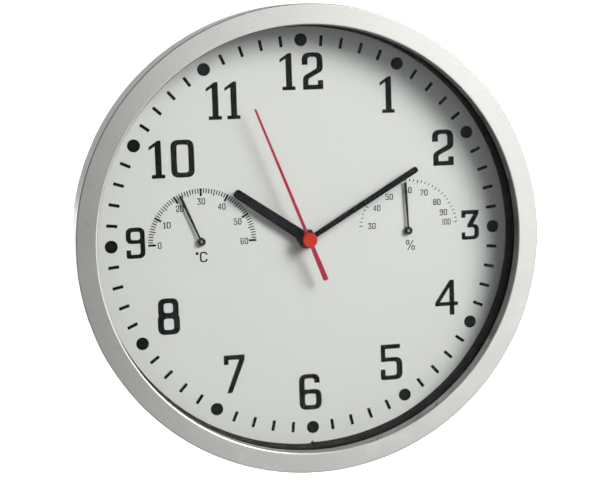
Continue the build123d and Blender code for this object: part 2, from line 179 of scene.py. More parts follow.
class StudioSettings(bpy.types.PropertyGroup):
    """Camera, lights and floor"""
    camera_azimuth: angle_setting(
        "Camera azimuth", "Turn of the camera about the clock", -0.203119)
    camera_elevation: angle_setting(
        "Camera elevation", "Height angle of the camera", 0.119548)
    camera_roll: angle_setting(
        "Camera roll", "Tilt of the camera about its line of sight", -0.032241)
    camera_distance: length_setting(
        "Camera distance", "Distance from the dial's centre", 0.804103, low=0.1)
    aim_right: length_setting(
        "Aim right", "Sideways shift of the camera", -0.0020755, low=-1.0)
    aim_up: length_setting(
        "Aim up", "Upward shift of the camera", -0.0073520, low=-1.0)
    lens: FloatProperty(
        name="Lens", description="Focal length in millimetres on a sensor 36 mm wide",
        default=88.636, min=1.0)
    floor_drop: length_setting(
        "Floor drop", "Height of the dial's centre above the floor", 1.20)
    floor_colour: colour_setting("Floor colour", "Pale floor", (0.90, 0.90, 0.90))
    key_power: FloatProperty(
        name="Key power", description="Power of the soft main light", default=3.2, min=0.0,
        unit="POWER")
    key_size: length_setting("Key size", "Side of the soft main light", 0.71)
    room_dark: brightness_setting(
        "Room, dark side", "Brightness of the room at the left", 0.16)
    room_light: brightness_setting(
        "Room, light side", "Brightness of the room at the right", 0.30)
    room_back: brightness_setting(
        "Room, behind", "Brightness of the backdrop behind the clock", 0.50)


# ---------------------------------------------------------------- materials

# Most of a noise pattern lies between these two values
NOISE_LOW, NOISE_HIGH = 0.3, 0.7
NOISE_ROUGHNESS = 0.55

# Colours of the parts that have no setting of their own
BRASS = (0.72, 0.50, 0.20)
BRIGHT_STEEL = (0.62, 0.62, 0.62)
DULL_STEEL = (0.24, 0.24, 0.24)
PLATED_SHEET = (0.60, 0.60, 0.59)
BIMETAL = (0.60, 0.40, 0.22)
COATED_STRIP = (0.52, 0.45, 0.28)
MOTOR_GREY = (0.10, 0.105, 0.115)
GEAR_CREAM = (0.80, 0.80, 0.75)
RUBBER_BLACK = (0.02, 0.02, 0.02)
GLASS_TINT = (0.04, 0.05, 0.045)
JACKET_BLUE = (0.05, 0.06, 0.08)
JACKET_COPPER = (0.55, 0.30, 0.14)
CELL_STEEL = (0.55, 0.55, 0.53)

# Where each band of the cell starts, as a share of its length from the flat end
JACKET_START, COPPER_START, BUTTON_START = 0.012, 0.74, 0.962


class Finish:
    """A surface finish: one principled shader and the pattern nodes that feed it."""

    def __init__(self, name, colour, roughness, metallic=0.0):
        self.material = bpy.data.materials.new(name)
        self.material.use_nodes = True
        self.nodes = self.material.node_tree.nodes
        self.links = self.material.node_tree.links
        self.shader = self.nodes["Principled BSDF"]
        self.colour = tuple(colour)
        self.roughness = roughness
        self.material.diffuse_color = (*self.colour, 1.0)
        self.set("Base Color", (*self.colour, 1.0))
        self.set("Roughness", roughness)
        self.set("Metallic", metallic)

    def set(self, socket, value):
        """Give one of the shader's own sockets a uniform value."""
        self.shader.inputs[socket].default_value = value
        return self

    def node(self, kind, **inputs):
        """A new node, with its inputs named by their labels with _ for a space."""
        made = self.nodes.new(kind)
        for socket, value in inputs.items():
            made.inputs[socket.replace("_", " ")].default_value = value
        return made

    def coordinates(self, stretch):
        """The piece's own coordinates, which squeeze a pattern where stretch is over 1."""
        place = self.node("ShaderNodeTexCoord")
        mapping = self.node("ShaderNodeMapping", Scale=stretch)
        self.links.new(place.outputs["Object"], mapping.inputs["Vector"])
        return mapping.outputs["Vector"]

    def noise(self, size_mm, detail, stretch=(1, 1, 1)):
        """Noise whose lumps are about size_mm across."""
        grain = self.node("ShaderNodeTexNoise", Scale=1 / (size_mm * MM), Detail=detail,
                          Roughness=NOISE_ROUGHNESS)
        self.links.new(self.coordinates(stretch), grain.inputs["Vector"])
        return grain.outputs["Fac"]

    def spread(self, value, low, high):
        """Noise stretched over the whole way from low to high."""
        mapped = self.node("ShaderNodeMapRange", From_Min=NOISE_LOW, From_Max=NOISE_HIGH,
                           To_Min=low, To_Max=high)
        self.links.new(value, mapped.inputs["Value"])
        return mapped.outputs["Result"]

    def mottle(self, size_mm, share, detail=3.0):
        """Vary the colour by a share of its brightness."""
        mix = self.node("ShaderNodeMix")
        mix.data_type = "RGBA"
        colours = [socket for socket in mix.inputs if socket.type == "RGBA"]
        colours[0].default_value = (*[c * (1 - share) for c in self.colour], 1)
        colours[1].default_value = (*[min(1, c * (1 + share)) for c in self.colour], 1)
        self.links.new(self.spread(self.noise(size_mm, detail), 0, 1), mix.inputs["Factor"])
        output = [socket for socket in mix.outputs if socket.type == "RGBA"][0]
        self.links.new(output, self.shader.inputs["Base Color"])
        return self

    def vary_gloss(self, size_mm, share, stretch=(1, 1, 1), detail=4.0):
        """Vary the roughness by a share of it, as handling and moulding leave it."""
        low, high = self.roughness * (1 - share), min(1, self.roughness * (1 + share))
        gloss = self.spread(self.noise(size_mm, detail, stretch), low, high)
        self.links.new(gloss, self.shader.inputs["Roughness"])
        return self

    def bumps(self, size_mm, height_mm, stretch=(1, 1, 1), detail=2.0):
        """Raise the surface in fine grain."""
        bump = self.node("ShaderNodeBump", Strength=1.0, Distance=height_mm * MM)
        self.links.new(self.noise(size_mm, detail, stretch), bump.inputs["Height"])
        self.links.new(bump.outputs["Normal"], self.shader.inputs["Normal"])
        return self

    def to(self, node):
        """Give this finish to a node of the packed model."""
        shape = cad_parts[node].data
        shape.materials.clear()
        shape.materials.append(self.material)
        return self


def silver_lacquer(settings):
    """Satin silver paint under a thin clear coat."""
    finish = Finish("silver lacquer", settings.bezel_colour, settings.bezel_roughness,
                    metallic=0.88)
    finish.set("Coat Weight", 0.25).set("Coat Roughness", 0.18)
    finish.mottle(size_mm=1.2, share=0.03).vary_gloss(size_mm=9, share=0.12)
    return finish.bumps(size_mm=0.6, height_mm=0.002)


def black_moulding(name, settings, roughness, grain_mm, height_mm):
    """Black plastic with the fine grain of its mould."""
    finish = Finish(name, settings.black_colour, roughness)
    finish.mottle(size_mm=14, share=0.25).vary_gloss(size_mm=6, share=0.18)
    return finish.bumps(grain_mm, height_mm)


def dial_card(settings):
    """Pale card with the tooth of matt paper."""
    finish = Finish("dial card", settings.card_colour, roughness=0.62)
    finish.set("Specular IOR Level", 0.35)
    finish.mottle(size_mm=0.6, share=0.012, detail=5).vary_gloss(size_mm=2, share=0.10)
    return finish.bumps(size_mm=0.25, height_mm=0.003)


def dial_ink(settings):
    """Matt black print."""
    finish = Finish("dial ink", settings.ink_colour, roughness=0.7)
    finish.set("Specular IOR Level", 0.05)
    finish.mottle(size_mm=0.8, share=0.2).vary_gloss(size_mm=1.5, share=0.12)
    return finish.bumps(size_mm=0.2, height_mm=0.002)


def paint(name, colour, roughness):
    """Dull paint on sheet metal."""
    finish = Finish(name, colour, roughness).set("Specular IOR Level", 0.12)
    finish.mottle(size_mm=3, share=0.05).vary_gloss(size_mm=2.5, share=0.15)
    return finish.bumps(size_mm=0.8, height_mm=0.002)


def turned_metal(name, colour, roughness):
    """Metal with fine lines round its length."""
    finish = Finish(name, colour, roughness, metallic=1.0)
    finish.mottle(size_mm=1.6, share=0.07)
    finish.vary_gloss(size_mm=0.7, share=0.25, stretch=(1, 6, 1))
    return finish.bumps(size_mm=0.15, height_mm=0.003, stretch=(1, 8, 1))


def rolled_metal(name, colour, roughness):
    """Sheet metal with faint lines along its rolling."""
    finish = Finish(name, colour, roughness, metallic=1.0)
    finish.mottle(size_mm=4, share=0.06)
    finish.vary_gloss(size_mm=1.2, share=0.25, stretch=(1, 1, 9))
    return finish.bumps(size_mm=0.2, height_mm=0.003, stretch=(1, 1, 12))


def gear_plastic():
    """Cream plastic that lets a little light into itself."""
    finish = Finish("gear plastic", GEAR_CREAM, roughness=0.42)
    finish.set("Subsurface Weight", 0.08).set("Subsurface Radius", (0.0012, 0.001, 0.0008))
    finish.mottle(size_mm=5, share=0.03).vary_gloss(size_mm=2, share=0.12)
    return finish.bumps(size_mm=0.5, height_mm=0.004)


def motor_plastic():
    """Dark grey plastic of the closed motor block."""
    finish = Finish("motor grey", MOTOR_GREY, roughness=0.5)
    finish.mottle(size_mm=6, share=0.1).vary_gloss(size_mm=3, share=0.15)
    return finish.bumps(size_mm=0.8, height_mm=0.01)


def soft_rubber():
    """Dull black rubber."""
    finish = Finish("washer rubber", RUBBER_BLACK, roughness=0.8)
    finish.mottle(size_mm=1.2, share=0.2).vary_gloss(size_mm=1, share=0.1)
    return finish.bumps(size_mm=0.3, height_mm=0.01)


def clear_glass():
    """Clear front glass that lets the light through to the dial."""
    finish = Finish("clear glass", GLASS_TINT, roughness=0.04)
    finish.set("IOR", 1.5).set("Alpha", 0.05)
    finish.material.surface_render_method = "BLENDED"
    return finish.vary_gloss(size_mm=30, share=0.3)


def cell_jacket():
    """Plain cell jacket: a dark body, a copper band at the button end and bare steel ends."""
    finish = Finish("cell jacket", JACKET_BLUE, roughness=0.32, metallic=0.6)
    low, high = span("battery_cell", 0)
    place = finish.node("ShaderNodeTexCoord")
    parts = finish.node("ShaderNodeSeparateXYZ")
    finish.links.new(place.outputs["Object"], parts.inputs["Vector"])
    along = finish.node("ShaderNodeMapRange", From_Min=low * MM, From_Max=high * MM)
    finish.links.new(parts.outputs["X"], along.inputs["Value"])
    bands = finish.node("ShaderNodeValToRGB")
    ramp = bands.color_ramp
    ramp.interpolation = "CONSTANT"
    ramp.elements[0].color = (*CELL_STEEL, 1)
    ramp.elements[1].position = JACKET_START
    ramp.elements[1].color = (*JACKET_BLUE, 1)
    for position, colour in ((COPPER_START, JACKET_COPPER), (BUTTON_START, CELL_STEEL)):
        ramp.elements.new(position).color = (*colour, 1)
    finish.links.new(along.outputs["Result"], bands.inputs["Fac"])
    finish.links.new(bands.outputs["Color"], finish.shader.inputs["Base Color"])
    return finish.vary_gloss(size_mm=3, share=0.15).bumps(size_mm=0.8, height_mm=0.003)


# ---------------------------------------------------------------- making pieces

MERGE_DISTANCE = 0.0005    # corners nearer than this, in millimetres, become one
CORNER_SEGMENTS = 5        # straight runs in each rounded corner
DOT_SIDES = 40             # sides of an hour dot
SMALL_DOT_SIDES = 24       # sides of a dot under 2 mm across


def settled(shape):
    """Merge doubles and point every face outwards."""
    bmesh.ops.remove_doubles(shape, verts=shape.verts, dist=MERGE_DISTANCE)
    bmesh.ops.recalc_face_normals(shape, faces=shape.faces)


def finished(name, shape, finish, body, replaced=(), smooth_angle=None):
    """Stand a drawn shape up in its place as a piece that rides on a body."""
    shape.transform(STAND_UP)
    data = bpy.data.meshes.new(name)
    shape.to_mesh(data)
    shape.free()
    if smooth_angle is not None:
        data.shade_smooth()
        data.set_sharp_from_angle(angle=smooth_angle)
    data.materials.append(finish.material)
    piece = bpy.data.objects.new(name, data)
    bpy.context.scene.collection.objects.link(piece)
    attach(piece, body)
    if replaced:
        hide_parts(*replaced)


def wire(shape, corners):
    """A closed line through (x, y, round) corners, each rounded by its own radius."""
    start = [shape.verts.new((x, y, 0)) for x, y, _ in corners]
    for i, vertex in enumerate(start):
        shape.edges.new((start[i - 1], vertex))
    rounds = {}
    for vertex, (_, _, radius) in zip(start, corners):
        if radius:
            rounds.setdefault(radius, []).append(vertex)
    for radius, vertices in rounds.items():
        bmesh.ops.bevel(shape, geom=vertices, offset=radius, offset_type="OFFSET",
                        segments=CORNER_SEGMENTS, profile=0.5, affect="VERTICES", material=-1,
                        clamp_overlap=False)


def outline(corners):
    """Corners given as (x, y) or (x, y, round), all as (x, y, round)."""
    return [(*corner, 0)[:3] for corner in corners]


def box_line(half_width, half_height, radius=0):
    """Corners of a box about its own centre, each rounded by the same radius."""
    return [(x * half_width, y * half_height, radius)
            for x, y in ((-1, -1), (1, -1), (1, 1), (-1, 1))]


def printed(shape, rings, place, thickness):
    """Fill rings, the first with the others as its holes, and raise them off the dial."""
    mark = bmesh.new()
    for ring in rings:
        wire(mark, outline(ring))
    bmesh.ops.triangle_fill(mark, edges=mark.edges, use_beauty=True, use_dissolve=False)
    raised = bmesh.ops.extrude_face_region(mark, geom=mark.faces[:])
    top = [item for item in raised["geom"] if isinstance(item, bmesh.types.BMVert)]
    bmesh.ops.translate(mark, verts=top, vec=(0, 0, thickness))
    settled(mark)
    mark.transform(place)
    data = bpy.data.meshes.new("mark")
    mark.to_mesh(data)
    mark.free()
    shape.from_mesh(data)
    bpy.data.meshes.remove(data)


def round_mark(shape, radius, centre, thickness, sides):
    """A round printed dot."""
    dot = bmesh.ops.create_cone(shape, cap_ends=True, segments=sides, radius1=radius,
                                radius2=radius, depth=thickness)
    place = (centre[0] + PRINT_PLACE[0], centre[1] + PRINT_PLACE[1], DIAL_FRONT + thickness / 2)
    bmesh.ops.translate(shape, verts=dot["verts"], vec=place)


def on_dial(x, y, turn=0.0, scale=(1, 1)):
    """Place in the dial's print, turned clockwise from the twelve by turn degrees."""
    return (Matrix.Translation((x + PRINT_PLACE[0], y + PRINT_PLACE[1], DIAL_FRONT))
            @ Matrix.Rotation(-radians(turn), 4, "Z") @ Matrix.Diagonal((*scale, 1, 1)))


def bar_mark(shape, centre, turn, inner, outer, width, thickness):
    """A straight mark that points at a centre, from one distance to another."""
    half = width / 2
    ring = [(-half, inner), (half, inner), (half, outer), (-half, outer)]
    printed(shape, [ring], on_dial(*centre, turn), thickness)


# ---------------------------------------------------------------- numerals

# Outlines of the digits and of the letter in a cell 20 high, as (x, y, round) corners:
# the outer line first, then the holes.
DIGITS = {
    "0": [[(0, 0, 3.6), (12.4, 0, 3.6), (12.4, 20, 3.6), (0, 20, 3.6)],
          [(3.2, 2.6, 1.5), (9.3, 2.6, 1.5), (9.3, 17.4, 1.5), (3.2, 17.4, 1.5)]],
    "1": [[(1.1, 0), (8.2, 0), (8.2, 2), (6.5, 2), (6.5, 20), (4.7, 20), (0, 16.8), (0, 15),
           (3.2, 17), (3.2, 2), (1.1, 2)]],
    "2": [[(0.4, 0), (11.4, 0), (11.4, 4.9), (8.5, 4.9), (8.5, 2.5), (3.3, 2.5), (3.3, 5.7, 0.8),
           (11.4, 10, 1.8), (11.4, 20, 3.6), (0, 20, 3.6), (0, 13.4), (3.2, 13.4),
           (3.2, 17.6, 1.4), (8.1, 17.6, 1.4), (8.1, 11.4, 0.8), (0.4, 7.2, 1.8)]],
    "3": [[(0, 0, 1.2), (11.9, 0, 3.6), (11.9, 10.4, 3.4), (8, 10.4), (11.9, 17.4), (11.9, 20),
           (0, 20), (0, 15), (2.9, 15), (2.9, 17.2), (8.2, 17.2), (4, 10.2), (4, 8.2),
           (8.8, 8.2, 1.5), (8.8, 2.4, 1.5), (2.5, 2.4, 0.5), (2.5, 5.1), (0, 5.1)]],
    "4": [[(8.2, 0), (11, 0), (11, 5.3), (13.1, 5.3), (13.1, 7.5), (11, 7.5), (11, 20),
           (8.5, 20), (0, 7.4), (0, 5.3), (8.2, 5.3)],
          [(8.2, 7.5), (8.2, 15.6), (2.8, 7.5)]],
    "5": [[(0, 0, 1.5), (12.4, 0, 3.6), (12.4, 12.7, 3.6), (2.8, 12.7), (2.8, 17.5),
           (11.3, 17.5), (11.3, 20), (0.3, 20), (0.3, 10.3), (9.1, 10.3, 1.6), (9.1, 2.5, 1.6),
           (2.7, 2.5, 0.5), (2.7, 6), (0, 6)]],
    "6": [[(0, 0, 3.6), (12.2, 0, 3.6), (12.2, 11.4, 3.4), (3.1, 11.4), (3.1, 17.5, 1.3),
           (8.4, 17.5, 1.3), (8.4, 14.8), (11.4, 14.8), (11.4, 20, 3.4), (0, 20, 3.6)],
          [(3.1, 2.5, 1.4), (9.1, 2.5, 1.4), (9.1, 8.9, 1.4), (3.1, 8.9, 1.4)]],
    "7": [[(1.2, 0), (4.1, 0), (11.5, 17.4), (11.5, 20), (0, 20), (0, 15), (2.6, 15),
           (2.6, 17.5), (8.4, 17.5)]],
    "8": [[(0, 0, 3.4), (11.6, 0, 3.4), (11.6, 10.2, 1.8), (10.7, 10.6), (11.2, 11, 1),
           (11.2, 20, 3.4), (0.4, 20, 3.4), (0.4, 11, 1), (0.9, 10.6), (0, 10.2, 1.8)],
          [(3.2, 2.7, 1.4), (8.4, 2.7, 1.4), (8.4, 8.8, 1.4), (3.2, 8.8, 1.4)],
          [(3.4, 12, 1.4), (8.2, 12, 1.4), (8.2, 17.3, 1.4), (3.4, 17.3, 1.4)]],
    "9": [[(0, 0, 1.5), (11.9, 0, 3.6), (11.9, 20, 3.6), (0, 20, 3.6), (0, 9.5, 3.4),
           (8.9, 9.5), (8.9, 2.6, 1.4), (2.9, 2.6, 0.5), (2.9, 5.5), (0, 5.5)],
          [(3.1, 12, 1.4), (8.9, 12, 1.4), (8.9, 17.2, 1.4), (3.1, 17.2, 1.4)]],
    "C": [[(0, 0, 5), (12, 0, 5), (12, 6), (9.4, 6), (9.4, 2.4, 3), (2.6, 2.4, 3),
           (2.6, 17.6, 3), (9.4, 17.6, 3), (9.4, 14), (12, 14), (12, 20, 5), (0, 20, 5)]],
}
DIGIT_WIDTHS = {sign: max(corner[0] for corner in rings[0]) for sign, rings in DIGITS.items()}
DIGIT_HEIGHT = 20.0

# Digit, left edge, right edge, foot and head of each numeral, in millimetres from the
# centre of the print
HOUR_NUMERALS = [
    ("1", -11.8, -3.6, 78.6, 98.2), ("2", 0.2, 11.6, 78.6, 98.2),
    ("1", 42.6, 50.7, 64.6, 84.2),
    ("2", 71.3, 83.4, 34.8, 54.4),
    ("3", 87.1, 97.1, -6.7, 9.6),
    ("4", 71.1, 84.2, -48.0, -28.5),
    ("5", 39.1, 51.5, -82.0, -62.2),
    ("6", -7.0, 5.4, -95.2, -75.4),
    ("7", -47.8, -36.4, -82.7, -62.0),
    ("8", -82.3, -70.5, -48.6, -29.0),
    ("9", -97.2, -87.2, -6.8, 9.6),
    ("1", -83.2, -75.0, 34.8, 54.7), ("0", -71.7, -59.3, 34.8, 54.7),
    ("1", -51.8, -43.7, 64.4, 84.2), ("1", -41.9, -33.8, 64.4, 84.2),
]


def number(shape, text, centre, height, width, gap, thickness):
    """A number centred on a place, with its digits squeezed to fit a width."""
    rise = height / DIGIT_HEIGHT
    natural = sum(DIGIT_WIDTHS[sign] for sign in text) * rise + gap * (len(text) - 1)
    squeeze = width / natural
    left = centre[0] - width / 2
    for sign in text:
        place = on_dial(left, centre[1] - height / 2, scale=(squeeze * rise, rise))
        printed(shape, DIGITS[sign], place, thickness)
        left += DIGIT_WIDTHS[sign] * squeeze * rise + gap * squeeze


# ---------------------------------------------------------------- weather scales

# Lengths are in millimetres, places count from the centre of the print, and turns
# are degrees clockwise from the twelve. Figures are (text, x, y).
THERMO_CENTRE = (-56.6, -0.4)
THERMO_TOP = 60                 # last degree of the scale
THERMO_FIRST_TURN = -90
THERMO_TURN_STEP = 3            # turn from one degree's mark to the next
THERMO_LONG_START = 24.9        # inner end of every tenth mark
THERMO_MIDDLE_START = 25.6      # inner end of every fifth mark
THERMO_SHORT_START = 26.4       # inner end of the others
THERMO_MARK_END = 29.0
THERMO_BOLD_WIDTH = 1.1         # width of every tenth mark
THERMO_MARK_WIDTH = 0.55
THERMO_FIGURES = (
    ("0", -79.6, -0.65), ("10", -75.3, 9.9), ("20", -68.1, 18.4), ("30", -56.5, 21.7),
    ("40", -45.7, 18.4), ("50", -37.4, 10.0), ("60", -34.2, -0.65))
THERMO_FIGURE_HEIGHT = 3.4
THERMO_DIGIT_WIDTH = 2.05
THERMO_FIGURE_GAP = 0.5

DEGREE_DOT_PLACE = (-59.9, -6.0)
DEGREE_DOT_RADIUS = 0.8
LETTER_PLACE = (-56.4, -8.0)
LETTER_HEIGHT = 5.6
LETTER_WIDTH = 4.1

HYGRO_CENTRE = (57.0, 0.3)
HYGRO_STEPS = 35                # two percent from one mark to the next
HYGRO_SWEEP = 165.2             # turn from the first mark to the last
HYGRO_LONG_START = 26.1         # inner end of every fifth mark
HYGRO_SHORT_START = 26.7        # inner end of the others
HYGRO_MARK_END = 28.0
HYGRO_MARK_WIDTH = 0.45
HYGRO_FIGURES = (
    ("30", 36.3, 3.7), ("40", 39.2, 13.3), ("50", 46.4, 19.1), ("60", 57.0, 22.2),
    ("70", 66.1, 20.5), ("80", 73.3, 15.0), ("90", 76.9, 9.2), ("100", 78.4, 3.9))
HYGRO_FIGURE_HEIGHT = 3.3
HYGRO_FIGURE_WIDTHS = {2: 4.2, 3: 5.0}    # by the number of digits
HYGRO_FIGURE_GAP = 0.45

PERCENT_PLACE = (57.7, -7.9)
PERCENT_RING = (0.95, 1.25, 0.6)    # half width, half height and round of each small ring
PERCENT_HOLE = (0.45, 0.75, 0.3)    # the same of its hole
PERCENT_RING_SHIFT = 1.5            # from the middle of the sign to each ring, both ways
PERCENT_BAR_TURN = 32
PERCENT_BAR_HALF = 3.2
PERCENT_BAR_WIDTH = 0.5


def thermometer_print(thickness):
    """Marks and figures from 0 to 60, and the sign for degrees Celsius."""
    scale = bmesh.new()
    for degree in range(THERMO_TOP + 1):
        inner, width = THERMO_SHORT_START, THERMO_MARK_WIDTH
        if degree % 10 == 0:
            inner, width = THERMO_LONG_START, THERMO_BOLD_WIDTH
        elif degree % 5 == 0:
            inner = THERMO_MIDDLE_START
        turn = THERMO_FIRST_TURN + degree * THERMO_TURN_STEP
        bar_mark(scale, THERMO_CENTRE, turn, inner, THERMO_MARK_END, width, thickness)
    for text, x, y in THERMO_FIGURES:
        number(scale, text, (x, y), THERMO_FIGURE_HEIGHT, THERMO_DIGIT_WIDTH * len(text),
               THERMO_FIGURE_GAP, thickness)
    round_mark(scale, DEGREE_DOT_RADIUS, DEGREE_DOT_PLACE, thickness, SMALL_DOT_SIDES)
    number(scale, "C", LETTER_PLACE, LETTER_HEIGHT, LETTER_WIDTH, 0, thickness)
    return scale


def hygrometer_print(thickness):
    """Marks and figures from 30 to 100, and the percent sign."""
    scale = bmesh.new()
    for step in range(HYGRO_STEPS + 1):
        turn = -HYGRO_SWEEP / 2 + step * HYGRO_SWEEP / HYGRO_STEPS
        inner = HYGRO_LONG_START if step % 5 == 0 else HYGRO_SHORT_START
        bar_mark(scale, HYGRO_CENTRE, turn, inner, HYGRO_MARK_END, HYGRO_MARK_WIDTH, thickness)
    for text, x, y in HYGRO_FIGURES:
        number(scale, text, (x, y), HYGRO_FIGURE_HEIGHT, HYGRO_FIGURE_WIDTHS[len(text)],
               HYGRO_FIGURE_GAP, thickness)
    x, y = PERCENT_PLACE
    for shift in (-PERCENT_RING_SHIFT, PERCENT_RING_SHIFT):
        printed(scale, [box_line(*PERCENT_RING), box_line(*PERCENT_HOLE)],
                on_dial(x + shift, y - shift), thickness)
    bar_mark(scale, PERCENT_PLACE, PERCENT_BAR_TURN, -PERCENT_BAR_HALF, PERCENT_BAR_HALF,
             PERCENT_BAR_WIDTH, thickness)
    return scale


# ---------------------------------------------------------------- operators

BEZEL_STEPS = 224              # sides of the bezel's circle
LIP_ROUND = 0.25               # round between the bezel's face and its lip, in millimetres
MOUTH_ROUND = 0.15             # round between the lip and the mouth, in millimetres
SHARP_ANGLE = radians(3)       # the lip and the edges stay apart from the flat face


class CLOCK_OT_case(bpy.types.Operator):
    """Finish the bezel, the glass, the black strip and the back of the case"""
    bl_idname = "clock.case"
    bl_label = "Case"

    def execute(self, context):
        settings = context.scene.clock_case
        mouth = OUTER_RADIUS - settings.face_width / MM
        face = OUTER_RADIUS - settings.skirt_taper / MM
        section = bmesh.new()
        wire(section, outline([
            (OUTER_RADIUS, BEZEL_BACK),
            (face, CREST - settings.face_fall / MM, settings.edge_round / MM),
            (mouth + settings.lip_width / MM, CREST, LIP_ROUND),
            (mouth, CREST - settings.lip_fall / MM, MOUTH_ROUND),
            (mouth, GLASS_FRONT),
            (SEAT_RADIUS, GLASS_FRONT),
            (SEAT_RADIUS, BEZEL_BACK),
        ]))
        section.transform(QUARTER_TURN)
        bmesh.ops.spin(section, geom=section.verts[:] + section.edges[:], cent=(0, 0, 0),
                       axis=(0, 0, 1), angle=2 * pi, steps=BEZEL_STEPS, use_merge=True,
                       use_duplicate=False)
        settled(section)
        finished("bezel_shell", section, silver_lacquer(settings), "case",
                 ["front_bezel"], SHARP_ANGLE)
        clear_glass().to("glass")
        strip = black_moulding("strip black", settings, roughness=0.7, grain_mm=0.5,
                               height_mm=0.006)
        strip.set("Specular IOR Level", 0.08).to("spacer_ring")
        back = black_moulding("case black", settings, roughness=0.55, grain_mm=0.7,
                              height_mm=0.03)
        back.to("rear_case")
        return {"FINISHED"}


class CLOCK_OT_dial(bpy.types.Operator):
    """Finish the dial and print its hour dots, minute ticks and numerals"""
    bl_idname = "clock.dial"
    bl_label = "Dial"

    def execute(self, context):
        settings = context.scene.clock_dial
        dial_card(settings).to("dial_plate")
        ink = dial_ink(settings)
        thickness = settings.ink_thickness / MM
        ring = settings.dot_ring / MM
        dots = bmesh.new()
        for hour in range(12):
            turn = radians(hour * 30)
            round_mark(dots, settings.dot_radius / MM, (ring * sin(turn), ring * cos(turn)),
                       thickness, DOT_SIDES)
        finished("hour_dots", dots, ink, "case")
        ticks = bmesh.new()
        for minute in range(60):
            if minute % 5:
                bar_mark(ticks, (0, 0), minute * 6, settings.tick_inner / MM,
                         settings.tick_outer / MM, settings.tick_width / MM, thickness)
        finished("minute_ticks", ticks, ink, "case")
        numerals = bmesh.new()
        for sign, left, right, foot, head in HOUR_NUMERALS:
            scale = ((right - left) / DIGIT_WIDTHS[sign], (head - foot) / DIGIT_HEIGHT)
            printed(numerals, DIGITS[sign], on_dial(left, foot, scale=scale), thickness)
        finished("hour_numerals", numerals, ink, "case")
        return {"FINISHED"}


class CLOCK_OT_scales(bpy.types.Operator):
    """Print the thermometer's and the hygrometer's scales"""
    bl_idname = "clock.scales"
    bl_label = "Weather scales"

    def execute(self, context):
        settings = context.scene.clock_dial
        ink = dial_ink(settings)
        thickness = settings.ink_thickness / MM
        finished("thermometer_scale", thermometer_print(thickness), ink, "case")
        finished("hygrometer_scale", hygrometer_print(thickness), ink, "case")
        return {"FINISHED"}


class CLOCK_OT_hands(bpy.types.Operator):
    """Finish the hands, the red sweep hand and the weather pointers"""
    bl_idname = "clock.hands"
    bl_label = "Hands and pointers"

    def execute(self, context):
        settings = context.scene.clock_hands
        black = paint("hand black", settings.hand_colour, roughness=0.6)
        black.set("Specular IOR Level", 0.04).to("hour_hand").to("minute_hand")
        paint("sweep red", settings.sweep_colour, roughness=0.50).to("second_hand_blade")
        paint("cap red", settings.cap_colour, roughness=0.45).to("second_hand_cap")
        pointers = paint("pointer black", settings.pointer_colour, roughness=0.6)
        pointers.to("thermo_pointer").to("hygro_pointer")
        return {"FINISHED"}


class CLOCK_OT_works(bpy.types.Operator):
    """Finish the movement, its wheels, the cell and the two instruments behind the dial"""
    bl_idname = "clock.works"
    bl_label = "Movement and instruments"

    def execute(self, context):
        settings = context.scene.clock_case
        housing = black_moulding("movement black", settings, roughness=0.38, grain_mm=0.9,
                                 height_mm=0.006)
        housing.to("movement_case").to("movement_cover").to("setting_knob").to("movement_nut")
        motor_plastic().to("motor_block")
        soft_rubber().to("rubber_washer")
        turned_metal("turned brass", BRASS, roughness=0.30).to("minute_pipe")
        turned_metal("bright steel", BRIGHT_STEEL, roughness=0.26).to("second_arbor")
        pins = turned_metal("dull steel", DULL_STEEL, roughness=0.36)
        pins.to("thermo_arbor").to("hygro_arbor")
        sheet = rolled_metal("plated sheet", PLATED_SHEET, roughness=0.34)
        sheet.to("battery_contact_positive").to("battery_contact_negative")
        sheet.to("thermo_plate").to("hygro_plate")
        rolled_metal("bimetal strip", BIMETAL, roughness=0.36).to("thermo_coil")
        rolled_metal("coated strip", COATED_STRIP, roughness=0.5).to("hygro_coil")
        gear_plastic().to("minute_wheel").to("hour_wheel")
        cell_jacket().to("battery_cell")
        return {"FINISHED"}


# ---------------------------------------------------------------- studio

# Places in this part are in metres from the centre of the print: x right, y away
# from the camera, z up.
WHITE = (1, 1, 1)
WARM_WHITE = (1, 0.99, 0.97)
ROOM_TINT = (0.97, 0.985, 1)

KEY_PLACE = (0.71, -0.94, 0.64)
KEY_SPREAD = radians(60)

# The wash hangs over the floor behind the clock and points straight down
WASH_PLACE = (0, 16.5, 5)
WASH_TARGET = (0, 16.5, 0)
WASH_SIZE = 28
WASH_POWER = 5000
WASH_SPREAD = radians(30)

# Name, place, side, power and whether the card lights surfaces at large. The others are
# seen only in reflections, for the tones that the bezel mirrors.
CARDS = (
    ("right_card", (0.9, -2.3, -0.2), 1.5, 17.0, False),
    ("lip_card", (1.9, -1.5, 0), 1.2, 12.0, False),
    ("low_card", (0.24, -2.3, -0.68), 1.0, 0.9, False),
    ("front_card", (0.08, -2.5, 0.35), 0.5, 0.8, True),
)

FLOOR_HALF_WIDTH = 30
FLOOR_CELLS = 8

# The room grows lighter along a direction, between these two shares of the way along it
ROOM_ACROSS = ((1, 0, 0.3), 0.0, 0.45)
ROOM_BEHIND = ((0, 1, 0), 0.3, 0.8)
BACKDROP_STRENGTH = 1.2

SENSOR_WIDTH_MM = 36
NEAREST_SEEN, FARTHEST_SEEN = 0.01, 100


def soft_light(name, place, target, size, power, colour=WHITE, spread=pi):
    """A square soft light aimed at a place, given back for further settings."""
    data = bpy.data.lights.new(name, "AREA")
    data.size = size
    data.spread = spread
    data.energy = power
    data.color = colour
    light = bpy.data.objects.new(name, data)
    bpy.context.scene.collection.objects.link(light)
    light.location = place
    light.rotation_euler = (Vector(target) - Vector(place)).to_track_quat("-Z", "Y").to_euler()
    return light


